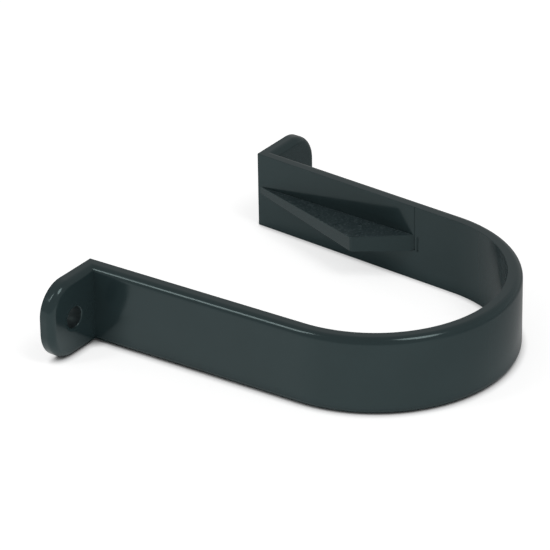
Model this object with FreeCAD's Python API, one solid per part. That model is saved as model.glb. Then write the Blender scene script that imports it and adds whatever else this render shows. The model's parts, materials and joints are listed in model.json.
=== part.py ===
# Clip for a round downpipe, moulded in one piece: a U-shaped strap that goes round the pipe, a
# screw ear turned outward at the wall end of each leg, and a wedge-shaped stop inside each leg
# that keeps the pipe in the bend.
#
# Frame: millimetres, +Z up along the pipe. The wall is the plane Y = 0 and the strap reaches to
# -Y. The origin lies midway between the two screw holes, at mid-height on the wall plane.
import FreeCAD
import Part
import math
import os
from FreeCAD import Vector

# Driving dimensions of the pipe and the strap
pipe_diameter = 68.0
pipe_clearance = 0.25  # play all round between the pipe and the bend
pipe_axis_from_wall = 65.5
strap_thickness = 4.0
strap_height = 22.0
leg_splay = 2.6  # degrees that each leg leans outward towards the wall
outer_edge_radius = 2.0  # both edges of the strap's outward face
inner_edge_radius = 0.3  # both edges of the strap's inward face

# Driving dimensions of the screw ears
ear_thickness = 4.0
ear_corner_radius = 8.7
ear_edge_radius = 2.0  # round the ear's outward face
screw_from_leg = 8.4  # leg's outer face to the screw's axis
screw_to_ear_end = 9.5
screw_hole_diameter = 6.0
screw_rim_chamfer = 0.4

# Driving dimensions of the pipe stops
stop_start = 0.8  # wall to the foot of the ramp
stop_reach = 10.9  # leg's inner face to the tip
stop_angle = 40.0  # degrees between the end face's normal and the leg's normal
stop_clearance = 0.9  # pipe to the end face
stop_thickness_at_wall = 2.2
stop_thickness_at_pipe = 5.0
stop_tip_radius = 0.6

# Working values
bore_radius = pipe_diameter / 2 + pipe_clearance
outer_radius = bore_radius + strap_thickness
pipe_axis = Vector(0, -pipe_axis_from_wall, 0)
half_height = strap_height / 2
up = Vector(0, 0, 1)
touching = 1e-3  # distance within which an edge counts as lying on an outline
cut_margin = 1.0  # how far a cutting body runs past the face it cuts

# Directions of the leg on the +X side: along it towards the wall, and square to it, outward
splay = math.radians(leg_splay)
leg_along = Vector(math.sin(splay), math.cos(splay), 0)
leg_out = Vector(math.cos(splay), -math.sin(splay), 0)


def mirrored(point):
    return Vector(-point.x, point.y, point.z)


def bend_end(radius):
    """End of the bend's arc of this radius, where the straight leg begins."""
    return pipe_axis + leg_out * radius


def leg_point(radius, y):
    """Point at this y on the straight line that continues the bend's arc of this radius."""
    start = bend_end(radius)
    return start + leg_along * ((y - start.y) / leg_along.y)


def segment(start, end):
    return Part.LineSegment(start, end).toShape()


# Places along the wall that the strap gives to the ears and the screws
mouth = leg_point(bore_radius, 0)
leg_foot = leg_point(outer_radius, 0)
screw_x = leg_point(outer_radius, -ear_thickness).x + screw_from_leg
ear_end_x = screw_x + screw_to_ear_end
ear_start_x = mouth.x + strap_thickness / 4  # inside the leg, clear of its rounded edges


def side_outline(radius):
    """Plan of one side of the strap: a leg, the bend of this radius and the other leg."""
    foot = leg_point(radius, 0)
    end = bend_end(radius)
    bend = Part.Arc(end, pipe_axis - Vector(0, radius, 0), mirrored(end)).toShape()
    return [segment(foot, end), bend, segment(mirrored(end), mirrored(foot))]


def level_edges(shape, outline):
    """Level edges of the shape whose plan lies on the outline."""
    plan = Part.Compound(outline)
    found = []
    for edge in shape.Edges:
        middle = edge.valueAt((edge.FirstParameter + edge.LastParameter) / 2)
        is_level = edge.BoundBox.ZLength < touching
        if is_level and Part.Vertex(middle.x, middle.y, 0).distToShape(plan)[0] < touching:
            found.append(edge)
    return found


def make_strap():
    """Strap from its plan, with large outer and small inner edge radii."""
    inward = side_outline(bore_radius)
    outward = side_outline(outer_radius)
    feet = [segment(mouth, leg_foot), segment(mirrored(mouth), mirrored(leg_foot))]
    plan = Part.Face(Part.Wire(Part.sortEdges(inward + outward + feet)[0]))
    plan.translate(-up * half_height)
    strap = plan.extrude(up * strap_height)
    strap = strap.makeFillet(min(outer_edge_radius, 0.7 * strap_thickness), level_edges(strap, outward))
    return strap.makeFillet(inner_edge_radius, level_edges(strap, inward))


def front_edges(ear):
    """Edges of the ear's outward face, without the one inside the leg."""
    return [
        edge for edge in ear.Edges
        if edge.BoundBox.YLength < touching
        and abs(edge.CenterOfMass.y + ear_thickness) < touching
        and edge.CenterOfMass.x > ear_start_x + touching
    ]


def make_ear():
    """Ear of the +X leg: a plate that starts inside the leg, with a rounded end and a screw hole."""
    corner = Vector(ear_start_x, -ear_thickness, -half_height)
    ear = Part.makeBox(ear_end_x - ear_start_x, ear_thickness, strap_height, corner)
    end_corners = [
        edge for edge in ear.Edges
        if abs(edge.CenterOfMass.x - ear_end_x) < touching and edge.BoundBox.YLength > touching
    ]
    ear = ear.makeFillet(min(ear_corner_radius, 0.9 * half_height), end_corners)

    edge_radius = min(ear_edge_radius, 0.8 * ear_thickness)
    ear = ear.makeFillet(edge_radius, front_edges(ear))

    drilled_from = Vector(screw_x, cut_margin, 0)
    depth = ear_thickness + 2 * cut_margin
    hole = Part.makeCylinder(screw_hole_diameter / 2, depth, drilled_from, Vector(0, -1, 0))
    ear = ear.cut(hole)
    hole_rim = [edge for edge in front_edges(ear) if edge.isClosed()]
    return ear.makeChamfer(screw_rim_chamfer, hole_rim)


def make_stop():
    """Stop inside the +X leg: a wedge that rises from the wall end to a tip, and whose end face
    lies along the pipe."""
    angle = math.radians(stop_angle)
    end_normal = leg_out * math.cos(angle) + leg_along * math.sin(angle)
    end_along = leg_along * math.cos(angle) - leg_out * math.sin(angle)
    nearest_pipe = pipe_axis + end_normal * (pipe_diameter / 2 + stop_clearance)
    height_there = (mouth - nearest_pipe).dot(leg_out)

    foot = mouth - leg_along * stop_start
    tip = nearest_pipe + end_along * ((stop_reach - height_there) / math.sin(angle))
    root = nearest_pipe - end_along * (height_there / math.sin(angle))
    sunk = leg_out * (strap_thickness / 2)

    plan = Part.makePolygon([foot + sunk, foot, tip, root, root + sunk, foot + sunk])
    prism = Part.Face(plan).extrude(up * strap_height)
    prism.translate(-up * half_height)
    tip_edges = [edge for edge in prism.Edges if edge.CenterOfMass.sub(tip).Length < touching]
    prism = prism.makeFillet(stop_tip_radius, tip_edges)

    at_wall = up * (stop_thickness_at_wall / 2)
    at_pipe = up * (stop_thickness_at_pipe / 2)
    side = [foot + at_wall, root + at_pipe, root - at_pipe, foot - at_wall, foot + at_wall]
    wedge = Part.Face(Part.makePolygon([point + sunk for point in side]))
    return prism.common(wedge.extrude(-leg_out * (stop_reach + strap_thickness)))


def with_mirror_image(shape):
    return [shape, shape.mirror(Vector(0, 0, 0), Vector(1, 0, 0))]


clip = make_strap().fuse(with_mirror_image(make_ear()) + with_mirror_image(make_stop()))
clip = clip.removeSplitter()

os.makedirs("parts", exist_ok=True)
clip.Solids[0].exportStep("parts/downpipe_clip.step")
box = clip.optimalBoundingBox()
print(f"downpipe_clip: {len(clip.Solids)} solid, valid {clip.isValid()}, {clip.Volume:.1f} mm3")
print(f"size {box.XLength:.2f} x {box.YLength:.2f} x {box.ZLength:.2f}, screws {2 * screw_x:.3f} apart")
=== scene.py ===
import json
import math

import bmesh
import bpy
from mathutils import Matrix, Vector


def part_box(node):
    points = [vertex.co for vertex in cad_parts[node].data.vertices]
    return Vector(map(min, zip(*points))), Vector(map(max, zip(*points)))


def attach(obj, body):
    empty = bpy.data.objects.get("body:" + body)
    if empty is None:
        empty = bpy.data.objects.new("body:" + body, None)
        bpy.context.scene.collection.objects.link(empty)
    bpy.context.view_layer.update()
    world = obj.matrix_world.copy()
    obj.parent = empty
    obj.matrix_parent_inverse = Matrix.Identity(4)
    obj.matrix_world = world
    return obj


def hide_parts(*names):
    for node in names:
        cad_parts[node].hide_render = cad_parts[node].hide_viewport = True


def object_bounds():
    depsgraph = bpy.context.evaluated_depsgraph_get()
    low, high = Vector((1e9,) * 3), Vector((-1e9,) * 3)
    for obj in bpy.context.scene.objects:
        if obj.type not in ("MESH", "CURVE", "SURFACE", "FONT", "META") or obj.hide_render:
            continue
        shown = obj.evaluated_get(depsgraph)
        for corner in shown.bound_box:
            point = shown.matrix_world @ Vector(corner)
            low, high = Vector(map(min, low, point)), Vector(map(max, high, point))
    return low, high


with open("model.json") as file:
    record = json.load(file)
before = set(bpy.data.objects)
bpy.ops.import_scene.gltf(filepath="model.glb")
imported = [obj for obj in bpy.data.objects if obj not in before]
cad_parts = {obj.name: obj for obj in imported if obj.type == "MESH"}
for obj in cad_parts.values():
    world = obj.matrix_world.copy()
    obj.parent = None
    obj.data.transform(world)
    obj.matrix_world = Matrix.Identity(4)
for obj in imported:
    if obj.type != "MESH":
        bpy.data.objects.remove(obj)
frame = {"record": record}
cad_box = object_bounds()

MM = 0.001
mounts = {mount["name"]: mount for mount in frame["record"]["mounts"]}
clip_low, clip_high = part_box("downpipe_clip")

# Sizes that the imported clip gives, in metres
PIPE_AXIS = Vector(mounts["pipe_seat"]["pos_m"])
BORE_RADIUS = mounts["pipe_seat"]["dims"]["r_mm"] * MM
OUTER_RADIUS = PIPE_AXIS.y - clip_low.y
STRAP_THICKNESS = OUTER_RADIUS - BORE_RADIUS
HALF_HEIGHT = clip_high.z
EAR_END = clip_high.x
SCREW_X = mounts["wall_screws"]["dims"]["spacing_x_mm"] * MM / 2
SCREW_HOLE_RADIUS = mounts["wall_screws"]["dims"]["hole_r_mm"] * MM

# Strap
LEG_SPLAY = math.radians(2.6)
OUTER_EDGE_RADIUS = 2.0 * MM
INNER_EDGE_RADIUS = 0.15 * MM
BREAK_RADIUS = 0.15 * MM  # other edges that the mould leaves nearly sharp

# Screw ears
EAR_THICKNESS = 4.0 * MM
EAR_CORNER_RADIUS = 8.7 * MM
EAR_EDGE_RADIUS = 2.0 * MM
SCREW_RIM_RADIUS = 0.3 * MM
SCREW_HOLE_TAPER = 0.55 * MM  # the hole's radius narrows by this towards the wall
SCREW_LAND = 1.0 * MM  # width of the ring of even faces round the hole

# Pipe stops
PIPE_RADIUS = 34.0 * MM
STOP_START = 0.8 * MM
STOP_REACH = 10.9 * MM
STOP_ANGLE = math.radians(40.0)
STOP_CLEARANCE = 0.9 * MM
STOP_HALF_AT_WALL = 1.1 * MM
STOP_HALF_AT_PIPE = 2.5 * MM
STOP_TIP_RADIUS = 0.6 * MM

# Marks of the mould's insert on each leg, just past the stop: a fine line from the leg's upper edge
# down to the stop, and two nicks nearly as tall as the stop
WITNESS_FROM_STOP = 0.4 * MM
WITNESS_WIDTH = 0.4 * MM
WITNESS_DEPTH = 0.18 * MM
WITNESS_LOW = 2.3 * MM
NICKS_FROM_STOP = (0.2 * MM, 1.4 * MM)
NICK_WIDTH = 0.7 * MM
NICK_DEPTH = 0.35 * MM
NICK_HALF_HEIGHT = 2.2 * MM

# Directions of the leg on the +X side: along it towards the wall, and square to it, outward
LEG_ALONG = Vector((math.sin(LEG_SPLAY), math.cos(LEG_SPLAY), 0))
LEG_OUT = Vector((math.cos(LEG_SPLAY), -math.sin(LEG_SPLAY), 0))
UP = Vector((0, 0, 1))

# Fineness of the mesh: faces across a rounding, along half the bend and round a hole
LARGE_ROUNDING = 10
SMALL_ROUNDING = 4
BREAK_ROUNDING = 3
EAR_CORNER_ROUNDING = 20
STOP_TIP_ROUNDING = 6
BEND_STEPS = 56
HOLE_STEPS = 64
MERGE = 1e-7  # places closer than this, in metres, count as one
SLIVER = 3e-6  # shorter edges are closed up

# Inside corners and outside edges that turn by more than this are shaded as sharp
SHARP_INSIDE = math.radians(6)
SHARP_OUTSIDE = math.radians(34)

# Plastic's colours, and the tint of its gloss
POLISHED_DEEP = (0.0155, 0.0268, 0.0287)
POLISHED_PALE = (0.0187, 0.0321, 0.0345)
GRAIN_DEEP = (0.019, 0.031, 0.034)
GRAIN_PEAK = (0.075, 0.098, 0.103)
# Bore colours, darker than the polished plastic: painted shade in the screw holes
BORE_SHADED_DEEP = (0.006, 0.009, 0.010)
BORE_SHADED_PALE = (0.012, 0.018, 0.020)
GLOSS_TINT = (0.79, 1.0, 1.0, 1)

# Depths of the plastic's relief, in metres
WAVE_DEPTH = 40e-6
FINE_GRAIN_DEPTH = 0.6e-6
COARSE_GRAIN_DEPTH = 30e-6
RUBBED_DEPTH = 30e-6

# Span of a noise that the finishes are spread over, and the span that gives pale specks
NOISE_LOW = 0.3
NOISE_HIGH = 0.7
SPECK_LOW = 0.50
SPECK_HIGH = 0.74

# Material slots, and the slopes by which faces are given to them
POLISHED, GRAINED, BORE = range(3)
LEVEL_SLOPE = 0.9
BORE_SLOPE = 0.3

# Studio's sheets: a white floor, and a glowing card just above it that only the clip's gloss sees, a
# painted reflection of the floor with painted light and shade
SHEET_HALF_WIDTH = 20.0
FLOOR_LIFT = -0.02 * MM  # keeps the floor just clear of the clip's underside
FLOOR_GREY = 0.62
FLOOR_GLOW = 0.68
PAPER_ROUGHNESS = 0.9
CARD_LIFT = 0.05 * MM
CARD_GREY = 0.0  # black, so that it only glows
CARD_ACROSS = Vector((1.0, -0.2, 0.0))  # direction in which the card's light fades
CARD_BRIGHT = 0.7
CARD_DIM = 0.25
FADE_START = -20 * MM
FADE_END = 70 * MM

# Shade on the sheets close to the clip: how far it reaches, and the openness where it starts and ends
FLOOR_SHADE_REACH = 4.0 * MM
CARD_SHADE_REACH = HALF_HEIGHT
SHADE_SAMPLES = 16
SHADE_CLOSED = 0.25
SHADE_OPEN = 0.75

# Lamps and room light
LAMP_AIM = Vector((0, -50 * MM, 0))
LAMP_DISTANCE = 1.4
LAMP_HEIGHT = 0.75
ROOM_LIGHT = (0.41, 0.41, 0.41, 1)

# Viewpoint of the photograph, found by fitting the clip's edges to it (degrees, metres, pixels)
VIEW_AZIMUTH = -53.655
VIEW_ELEVATION = 28.17
VIEW_ROLL = -1.0
VIEW_DISTANCE = 1.0582
AIM_RIGHT = 0.02655
AIM_UP = -0.0093
FOCAL_PIXELS = 3910.0
PICTURE_PIXELS = 550
SENSOR_WIDTH_MM = 36.0


def leg_point(radius, y):
    """Point at this y on the straight line that continues the bend's arc of this radius."""
    start = PIPE_AXIS + LEG_OUT * radius
    return start + LEG_ALONG * ((y - start.y) / LEG_ALONG.y)


def middle(edge):
    return (edge.verts[0].co + edge.verts[1].co) / 2


def points_in(geometry):
    return [part for part in geometry if isinstance(part, bmesh.types.BMVert)]


def round_edges(bm, edges, radius, segments):
    bmesh.ops.bevel(bm, geom=edges, offset=radius, offset_type="OFFSET", affect="EDGES",
                    segments=segments, profile=0.5, material=-1)


def round_corners(bm, corners, radius, segments):
    bmesh.ops.bevel(bm, geom=corners, offset=radius, offset_type="OFFSET", affect="VERTICES",
                    segments=segments, profile=0.5, material=-1)


def raise_face(bm, face, height):
    """Extrudes a level face upward by this height."""
    raised = bmesh.ops.extrude_face_region(bm, geom=[face])["geom"]
    bmesh.ops.translate(bm, verts=points_in(raised), vec=UP * height)


def add_mirror_image(bm):
    everything = bm.verts[:] + bm.edges[:] + bm.faces[:]
    bmesh.ops.mirror(bm, geom=everything, merge_dist=MERGE, axis="X")
    bmesh.ops.recalc_face_normals(bm, faces=bm.faces)


def new_object(name, bm):
    mesh = bpy.data.meshes.new(name)
    bm.to_mesh(mesh)
    bm.free()
    piece = bpy.data.objects.new(name, mesh)
    bpy.context.scene.collection.objects.link(piece)
    return piece


def add_strap_section(bm):
    """Outline of the strap's section at the middle of the bend, with rounded corners."""
    outer_y = PIPE_AXIS.y - OUTER_RADIUS
    inner_y = PIPE_AXIS.y - BORE_RADIUS
    corners = (
        (outer_y, -HALF_HEIGHT),
        (inner_y, -HALF_HEIGHT),
        (inner_y, HALF_HEIGHT),
        (outer_y, HALF_HEIGHT),
    )
    bm.faces.new([bm.verts.new((0, y, z)) for y, z in corners])
    outer_corners = [vert for vert in bm.verts if abs(vert.co.y - outer_y) < MERGE]
    round_corners(bm, outer_corners, OUTER_EDGE_RADIUS, LARGE_ROUNDING)
    inner_corners = [
        vert for vert in bm.verts
        if abs(vert.co.y - inner_y) < MERGE and abs(abs(vert.co.z) - HALF_HEIGHT) < MERGE
    ]
    round_corners(bm, inner_corners, INNER_EDGE_RADIUS, SMALL_ROUNDING)
    bmesh.ops.delete(bm, geom=bm.faces[:], context="FACES_ONLY")


def make_strap():
    """Strap: its section at the middle of the bend is spun round the pipe, run out along the leg, cut
    off at the wall and mirrored."""
    bm = bmesh.new()
    add_strap_section(bm)
    section = bm.verts[:] + bm.edges[:]
    spun = bmesh.ops.spin(bm, geom=section, cent=PIPE_AXIS, axis=UP,
                          angle=math.pi / 2 - LEG_SPLAY, steps=BEND_STEPS)
    bend_end = [part for part in spun["geom_last"] if isinstance(part, bmesh.types.BMEdge)]
    leg = bmesh.ops.extrude_edge_only(bm, edges=bend_end)["geom"]
    past_wall = abs(PIPE_AXIS.y) + OUTER_RADIUS
    bmesh.ops.translate(bm, verts=points_in(leg), vec=LEG_ALONG * past_wall)
    everything = bm.verts[:] + bm.edges[:] + bm.faces[:]
    bmesh.ops.bisect_plane(bm, geom=everything, dist=MERGE, plane_co=(0, 0, 0), plane_no=(0, 1, 0),
                           clear_outer=True)
    add_mirror_image(bm)

    foot_edges = [edge for edge in bm.edges if edge.is_boundary]
    bmesh.ops.holes_fill(bm, edges=foot_edges, sides=0)
    bmesh.ops.recalc_face_normals(bm, faces=bm.faces)
    round_edges(bm, [edge for edge in foot_edges if edge.is_valid], BREAK_RADIUS, BREAK_ROUNDING)
    return new_object("strap", bm)


def add_ear_plate(bm):
    """Plate of the +X ear, which starts inside the leg, with a rounded end and rounded edges."""
    start_x = leg_point(BORE_RADIUS, 0).x + STRAP_THICKNESS / 4
    size = Vector((EAR_END - start_x, EAR_THICKNESS, 2 * HALF_HEIGHT))
    centre = Vector(((EAR_END + start_x) / 2, -EAR_THICKNESS / 2, 0))
    place = Matrix.Translation(centre) @ Matrix.Diagonal(size).to_4x4()
    bmesh.ops.create_cube(bm, size=1.0, matrix=place)

    end_corners = [
        edge for edge in bm.edges
        if abs(middle(edge).x - EAR_END) < MERGE and abs(middle(edge).y - centre.y) < MERGE
    ]
    round_edges(bm, end_corners, EAR_CORNER_RADIUS, EAR_CORNER_ROUNDING)
    front_rim = [
        edge for edge in bm.edges
        if abs(middle(edge).y + EAR_THICKNESS) < MERGE and middle(edge).x > start_x + MERGE
    ]
    round_edges(bm, front_rim, EAR_EDGE_RADIUS, LARGE_ROUNDING)
    back_rim = [
        edge for edge in bm.edges
        if abs(middle(edge).y) < MERGE and middle(edge).x > start_x + MERGE
    ]
    round_edges(bm, back_rim, BREAK_RADIUS, BREAK_ROUNDING)


def add_circle(bm, radius, y):
    """Edges of a circle round the screw's axis."""
    turn = Matrix.Translation((SCREW_X, y, 0)) @ Matrix.Rotation(math.pi / 2, 4, "X")
    circle = bmesh.ops.create_circle(bm, segments=HOLE_STEPS, radius=radius, matrix=turn)["verts"]
    return list(dict.fromkeys(edge for vert in circle for edge in vert.link_edges))


def open_hole(bm, radius, y):
    """Opens a hole of this radius in the ear's flat face at this y, and gives the hole's edges."""
    flat_faces = [face for face in bm.faces if abs(face.calc_center_median().y - y) < MERGE]
    plate = max(flat_faces, key=lambda face: face.calc_area())
    outline = plate.edges[:]
    bmesh.ops.delete(bm, geom=[plate], context="FACES_ONLY")
    hole = add_circle(bm, radius, y)
    land = add_circle(bm, SCREW_HOLE_RADIUS + SCREW_LAND, y)
    bmesh.ops.triangle_fill(bm, edges=outline + land, normal=(0, 1, 0))
    bmesh.ops.bridge_loops(bm, edges=land + hole)
    return hole


def make_ears():
    """Ears: plates with a tapered screw hole, whose rim is rounded."""
    bm = bmesh.new()
    add_ear_plate(bm)
    front_hole = open_hole(bm, SCREW_HOLE_RADIUS, -EAR_THICKNESS)
    back_hole = open_hole(bm, SCREW_HOLE_RADIUS - SCREW_HOLE_TAPER, 0.0)
    bmesh.ops.bridge_loops(bm, edges=front_hole + back_hole)
    bmesh.ops.recalc_face_normals(bm, faces=bm.faces)
    round_edges(bm, front_hole, SCREW_RIM_RADIUS, SMALL_ROUNDING)
    add_mirror_image(bm)
    return new_object("ears", bm)


def stop_plan():
    """Foot, tip and root of the stop on the +X leg, in plan: its end face lies along the pipe."""
    mouth = leg_point(BORE_RADIUS, 0)
    end_normal = LEG_OUT * math.cos(STOP_ANGLE) + LEG_ALONG * math.sin(STOP_ANGLE)
    end_along = LEG_ALONG * math.cos(STOP_ANGLE) - LEG_OUT * math.sin(STOP_ANGLE)
    nearest_pipe = PIPE_AXIS + end_normal * (PIPE_RADIUS + STOP_CLEARANCE)
    height_there = (mouth - nearest_pipe).dot(LEG_OUT)
    foot = mouth - LEG_ALONG * STOP_START
    tip = nearest_pipe + end_along * ((STOP_REACH - height_there) / math.sin(STOP_ANGLE))
    root = nearest_pipe - end_along * (height_there / math.sin(STOP_ANGLE))
    return foot, tip, root


def make_stops():
    """Stops: wedges that grow thicker and rise from the leg's face, from the wall to the pipe."""
    bm = bmesh.new()
    foot, tip, root = stop_plan()
    sunk = LEG_OUT * (STRAP_THICKNESS / 2)
    outline = (foot + sunk, foot, tip, root, root + sunk)
    plan = bm.faces.new([bm.verts.new(point) for point in outline])
    raise_face(bm, plan, 2 * STOP_HALF_AT_PIPE)
    for vert in bm.verts:
        share = (foot - vert.co).dot(LEG_ALONG) / (foot - root).dot(LEG_ALONG)
        half = STOP_HALF_AT_WALL + (STOP_HALF_AT_PIPE - STOP_HALF_AT_WALL) * share
        vert.co.z = half if vert.co.z > 0 else -half
    bmesh.ops.recalc_face_normals(bm, faces=bm.faces)

    tip_edge = [edge for edge in bm.edges if (middle(edge) - tip).length < MERGE]
    round_edges(bm, tip_edge, STOP_TIP_RADIUS, STOP_TIP_ROUNDING)
    flank_edges = [
        edge for edge in bm.edges
        if abs(edge.verts[0].co.z - edge.verts[1].co.z) < STOP_HALF_AT_WALL
        and (middle(edge) - foot).dot(LEG_OUT) < -MERGE
    ]
    round_edges(bm, flank_edges, BREAK_RADIUS, BREAK_ROUNDING)
    add_mirror_image(bm)
    return new_object("stops", bm)


def add_rod(bm, from_stop, width, depth, low, high):
    """Three-sided rod that cuts a groove of this width and depth into the leg's inner face."""
    root = stop_plan()[-1]
    groove = root - LEG_ALONG * from_stop
    section = (
        groove + LEG_OUT * depth,
        groove - LEG_OUT * depth + LEG_ALONG * width,
        groove - LEG_OUT * depth - LEG_ALONG * width,
    )
    rod = bm.faces.new([bm.verts.new(point + UP * low) for point in section])
    raise_face(bm, rod, high - low)


def make_mark_cutters():
    """Rods that cut the marks of the mould's insert."""
    bm = bmesh.new()
    past_edge = 2 * HALF_HEIGHT
    add_rod(bm, WITNESS_FROM_STOP, WITNESS_WIDTH, WITNESS_DEPTH, WITNESS_LOW, past_edge)
    for from_stop in NICKS_FROM_STOP:
        add_rod(bm, from_stop, NICK_WIDTH, NICK_DEPTH, -NICK_HALF_HEIGHT, NICK_HALF_HEIGHT)
    add_mirror_image(bm)
    return new_object("mark_cutters", bm)


def apply_modifiers(piece):
    graph = bpy.context.evaluated_depsgraph_get()
    mesh = bpy.data.meshes.new_from_object(piece.evaluated_get(graph), depsgraph=graph)
    piece.modifiers.clear()
    piece.data = mesh


def join(piece, operation, other):
    """Joins the other object to the piece, or cuts it out of the piece, and removes it."""
    step = piece.modifiers.new(other.name, "BOOLEAN")
    step.operation = operation
    step.solver = "MANIFOLD"
    step.object = other
    apply_modifiers(piece)
    bpy.data.objects.remove(other)


def mark_sharp_edges(mesh):
    """Smooth shading, with sharp corners and edges kept sharp. Slivers are closed up first."""
    mesh.shade_smooth()
    bm = bmesh.new()
    bm.from_mesh(mesh)
    bmesh.ops.dissolve_degenerate(bm, dist=SLIVER, edges=bm.edges)
    for edge in bm.edges:
        turn = edge.calc_face_angle_signed()
        edge.smooth = -SHARP_INSIDE < turn < SHARP_OUTSIDE
    bm.to_mesh(mesh)
    bm.free()


def make_clip():
    """Clip in one piece: the strap with its ears and stops, and the marks cut into its legs."""
    clip = make_strap()
    join(clip, "UNION", make_ears())
    join(clip, "UNION", make_stops())
    join(clip, "DIFFERENCE", make_mark_cutters())
    clip.name = "moulded_clip"
    mark_sharp_edges(clip.data)
    normals = clip.modifiers.new("weighted_normals", "WEIGHTED_NORMAL")
    normals.keep_sharp = True
    apply_modifiers(clip)
    return clip


def new_material(name):
    """New material, and its node tree's parts: nodes, links and shader."""
    material = bpy.data.materials.new(name)
    material.use_nodes = True
    nodes = material.node_tree.nodes
    return material, nodes, material.node_tree.links, nodes["Principled BSDF"]


def noise(nodes, links, scale, detail):
    """Noise on the clip's own coordinates. The scale is in grains per metre."""
    place = nodes.new("ShaderNodeTexCoord")
    texture = nodes.new("ShaderNodeTexNoise")
    texture.inputs["Scale"].default_value = scale
    texture.inputs["Detail"].default_value = detail
    links.new(place.outputs["Object"], texture.inputs["Vector"])
    return texture.outputs["Fac"]


def colour_range(nodes, links, value, low, high, start=NOISE_LOW, end=NOISE_HIGH):
    """Colour that goes from low, where the value is start, to high, where it is end."""
    ramp = nodes.new("ShaderNodeValToRGB")
    first, last = ramp.color_ramp.elements
    first.position = start
    first.color = (*low, 1)
    last.position = end
    last.color = (*high, 1)
    links.new(value, ramp.inputs["Fac"])
    return ramp.outputs["Color"]


def number_range(nodes, links, value, low, high, start=NOISE_LOW, end=NOISE_HIGH):
    """Number that goes from low, where the value is start, to high, where it is end."""
    spread = nodes.new("ShaderNodeMapRange")
    spread.inputs["From Min"].default_value = start
    spread.inputs["From Max"].default_value = end
    spread.inputs["To Min"].default_value = low
    spread.inputs["To Max"].default_value = high
    links.new(value, spread.inputs["Value"])
    return spread.outputs["Result"]


def product(nodes, links, first, second):
    multiply = nodes.new("ShaderNodeMath")
    multiply.operation = "MULTIPLY"
    links.new(first, multiply.inputs[0])
    links.new(second, multiply.inputs[1])
    return multiply.outputs["Value"]


def bump(nodes, links, height, depth, under=None):
    """Relief of this depth in metres, laid over another relief's normal where one is given."""
    relief = nodes.new("ShaderNodeBump")
    relief.inputs["Strength"].default_value = 1.0
    relief.inputs["Distance"].default_value = depth
    links.new(height, relief.inputs["Height"])
    if under is not None:
        links.new(under, relief.inputs["Normal"])
    return relief.outputs["Normal"]


def polished_finish():
    """Polished mould face: deep green-black, with faint clouds of pigment and a slight waviness."""
    material, nodes, links, shader = new_material("polished_plastic")
    clouds = noise(nodes, links, scale=45, detail=2)
    colour = colour_range(nodes, links, clouds, POLISHED_DEEP, POLISHED_PALE)
    links.new(colour, shader.inputs["Base Color"])
    smears = noise(nodes, links, scale=160, detail=5)
    roughness = number_range(nodes, links, smears, low=0.09, high=0.16)
    links.new(roughness, shader.inputs["Roughness"])
    waves = bump(nodes, links, noise(nodes, links, scale=60, detail=1), WAVE_DEPTH)
    grain = bump(nodes, links, noise(nodes, links, scale=7000, detail=1), FINE_GRAIN_DEPTH, waves)
    links.new(grain, shader.inputs["Normal"])
    shader.inputs["Specular Tint"].default_value = GLOSS_TINT
    return material


def grained_finish():
    """Eroded mould face on the stops' flanks: a coarse grain with pale specks on its peaks."""
    material, nodes, links, shader = new_material("grained_plastic")
    grain = noise(nodes, links, scale=1700, detail=3)
    colour = colour_range(nodes, links, grain, GRAIN_DEEP, GRAIN_PEAK, SPECK_LOW, SPECK_HIGH)
    links.new(colour, shader.inputs["Base Color"])
    patches = noise(nodes, links, scale=700, detail=3)
    roughness = number_range(nodes, links, patches, low=0.26, high=0.46)
    links.new(roughness, shader.inputs["Roughness"])
    links.new(bump(nodes, links, grain, COARSE_GRAIN_DEPTH), shader.inputs["Normal"])
    shader.inputs["Specular Tint"].default_value = GLOSS_TINT
    return material


def shaded_bore_finish():
    """Dull wall of the screw holes, its colour darkened with painted shade."""
    material, nodes, links, shader = new_material("dull_shaded_bore_plastic")
    rubbed = noise(nodes, links, scale=1200, detail=4)
    # the bore's darker colour is painted shade in the hole; the rubbed noise only varies it
    colour = colour_range(nodes, links, rubbed, BORE_SHADED_DEEP, BORE_SHADED_PALE)
    links.new(colour, shader.inputs["Base Color"])
    roughness = number_range(nodes, links, rubbed, low=0.42, high=0.60)
    links.new(roughness, shader.inputs["Roughness"])
    links.new(bump(nodes, links, rubbed, RUBBED_DEPTH), shader.inputs["Normal"])
    shader.inputs["Specular Tint"].default_value = GLOSS_TINT
    return material


def dress(clip):
    """Polished finish all over, a grained one on the stops' flanks, and in the holes a dull one
    darkened with painted shade.
    """
    clip.data.materials.clear()
    for material in (polished_finish(), grained_finish(), shaded_bore_finish()):
        clip.data.materials.append(material)
    for face in clip.data.polygons:
        from_screw = math.hypot(abs(face.center.x) - SCREW_X, face.center.z)
        is_level = abs(face.normal.z) > LEVEL_SLOPE
        if from_screw < SCREW_HOLE_RADIUS and abs(face.normal.y) < BORE_SLOPE:
            face.material_index = BORE
        elif is_level and abs(face.center.z) < HALF_HEIGHT / 2:
            face.material_index = GRAINED
        else:
            face.material_index = POLISHED


def glowing_paper(name, grey):
    """Dull paper of this grey, whose white glow is still to be linked."""
    material, nodes, links, shader = new_material(name)
    shader.inputs["Base Color"].default_value = (grey, grey, grey, 1)
    shader.inputs["Roughness"].default_value = PAPER_ROUGHNESS
    shader.inputs["Specular IOR Level"].default_value = 0.0
    shader.inputs["Emission Color"].default_value = (1, 1, 1, 1)
    return material, nodes, links, shader


def shaded_glow(nodes, links, glow, reach):
    """Glow of an open sheet, which dies away where the clip stands within this reach."""
    shade = nodes.new("ShaderNodeAmbientOcclusion")
    shade.samples = SHADE_SAMPLES
    shade.inputs["Distance"].default_value = reach
    return number_range(nodes, links, shade.outputs["AO"], 0.0, glow, SHADE_CLOSED, SHADE_OPEN)


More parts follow.
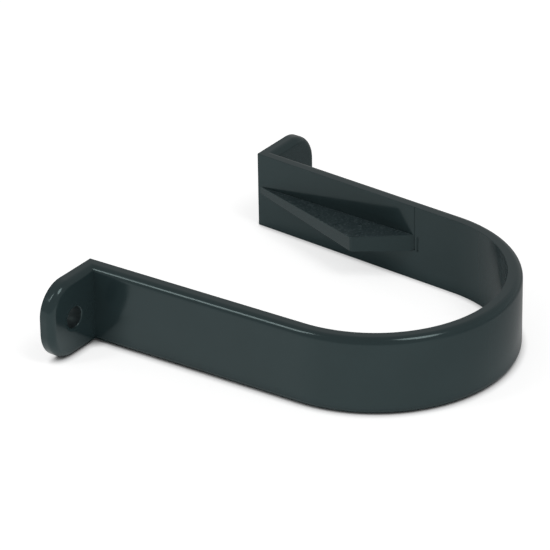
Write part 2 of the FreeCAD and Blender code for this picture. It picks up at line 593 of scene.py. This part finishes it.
def fading_light(nodes, links):
    """Light that is even beside the near leg and fades towards the far one."""
    place = nodes.new("ShaderNodeTexCoord")
    across = nodes.new("ShaderNodeVectorMath")
    across.operation = "DOT_PRODUCT"
    across.inputs[1].default_value = CARD_ACROSS
    links.new(place.outputs["Object"], across.inputs[0])
    along = across.outputs["Value"]
    return number_range(nodes, links, along, CARD_BRIGHT, CARD_DIM, FADE_START, FADE_END)


def add_sheet(name, lift, material):
    """Level sheet of the studio, this far above the plane that the clip stands on."""
    bm = bmesh.new()
    place = Matrix.Translation((0, 0, cad_box[0][2] + lift))
    bmesh.ops.create_grid(bm, x_segments=1, y_segments=1, size=SHEET_HALF_WIDTH, matrix=place)
    sheet = new_object(name, bm)
    sheet.data.materials.append(material)
    return sheet


def add_floor():
    """White floor, which the clip's gloss doesn't see; its glow carries a painted contact shade where
    the clip stands close.
    """
    paper, nodes, links, shader = glowing_paper("white_paper", FLOOR_GREY)
    # painted contact shade: the floor's glow fades where the clip stands close
    glow = shaded_glow(nodes, links, FLOOR_GLOW, FLOOR_SHADE_REACH)
    links.new(glow, shader.inputs["Emission Strength"])
    floor = add_sheet("floor", FLOOR_LIFT, paper)
    floor.visible_glossy = False


def add_card():
    """Glowing card that takes the floor's place in the clip's gloss: a painted reflection, whose
    light fades across it and whose painted shade falls close to the clip.
    """
    # painted reflection: this sheet is no lamp, and its glow is painted to stand in for the lit floor
    paper, nodes, links, shader = glowing_paper("painted_reflection_paper", CARD_GREY)
    shade = shaded_glow(nodes, links, 1.0, CARD_SHADE_REACH)
    glow = product(nodes, links, fading_light(nodes, links), shade)
    links.new(glow, shader.inputs["Emission Strength"])
    card = add_sheet("painted_reflection_card", CARD_LIFT, paper)
    card.visible_camera = False
    card.visible_diffuse = False
    card.visible_shadow = False


def add_world():
    """Even, dim room light."""
    world = bpy.data.worlds.new("studio")
    bpy.context.scene.world = world
    world.use_nodes = True
    world.node_tree.nodes["Background"].inputs["Color"].default_value = ROOM_LIGHT


def add_softbox(name, azimuth, elevation, width, watts):
    """Area light that looks at the clip. Azimuth 0 lies towards the wall, +90 towards +X."""
    turn = math.radians(azimuth)
    lift = math.radians(elevation)
    towards = Vector((
        math.sin(turn) * math.cos(lift),
        math.cos(turn) * math.cos(lift),
        math.sin(lift),
    ))
    data = bpy.data.lights.new(name, "AREA")
    data.shape = "ELLIPSE"
    data.size = width
    data.size_y = LAMP_HEIGHT
    data.energy = watts
    light = bpy.data.objects.new(name, data)
    light.location = LAMP_AIM + towards * LAMP_DISTANCE
    light.rotation_euler = towards.to_track_quat("Z", "Y").to_euler()
    bpy.context.scene.collection.objects.link(light)


def add_camera():
    """Camera at the photograph's viewpoint."""
    azimuth = math.radians(VIEW_AZIMUTH)
    elevation = math.radians(VIEW_ELEVATION)
    back = Vector((
        math.sin(azimuth) * math.cos(elevation),
        -math.cos(azimuth) * math.cos(elevation),
        math.sin(elevation),
    ))
    level = Vector((math.cos(azimuth), math.sin(azimuth), 0))
    right = Matrix.Rotation(math.radians(VIEW_ROLL), 3, back) @ level
    up = back.cross(right)
    data = bpy.data.cameras.new("camera")
    data.sensor_width = SENSOR_WIDTH_MM
    data.lens = FOCAL_PIXELS / PICTURE_PIXELS * SENSOR_WIDTH_MM
    camera = bpy.data.objects.new("camera", data)
    place = Matrix.Translation(back * VIEW_DISTANCE + right * AIM_RIGHT + up * AIM_UP)
    camera.matrix_world = place @ Matrix((right, up, back)).transposed().to_4x4()
    bpy.context.scene.collection.objects.link(camera)
    bpy.context.scene.camera = camera
    bpy.context.scene.view_settings.view_transform = "Standard"


add_camera()
add_world()
add_floor()
add_card()
add_softbox("back_softbox", azimuth=-52, elevation=46, width=0.22, watts=1.9)
add_softbox("front_softbox", azimuth=-174, elevation=60, width=0.5, watts=3.9)

clip = make_clip()
dress(clip)
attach(clip, "root")
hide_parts("downpipe_clip")
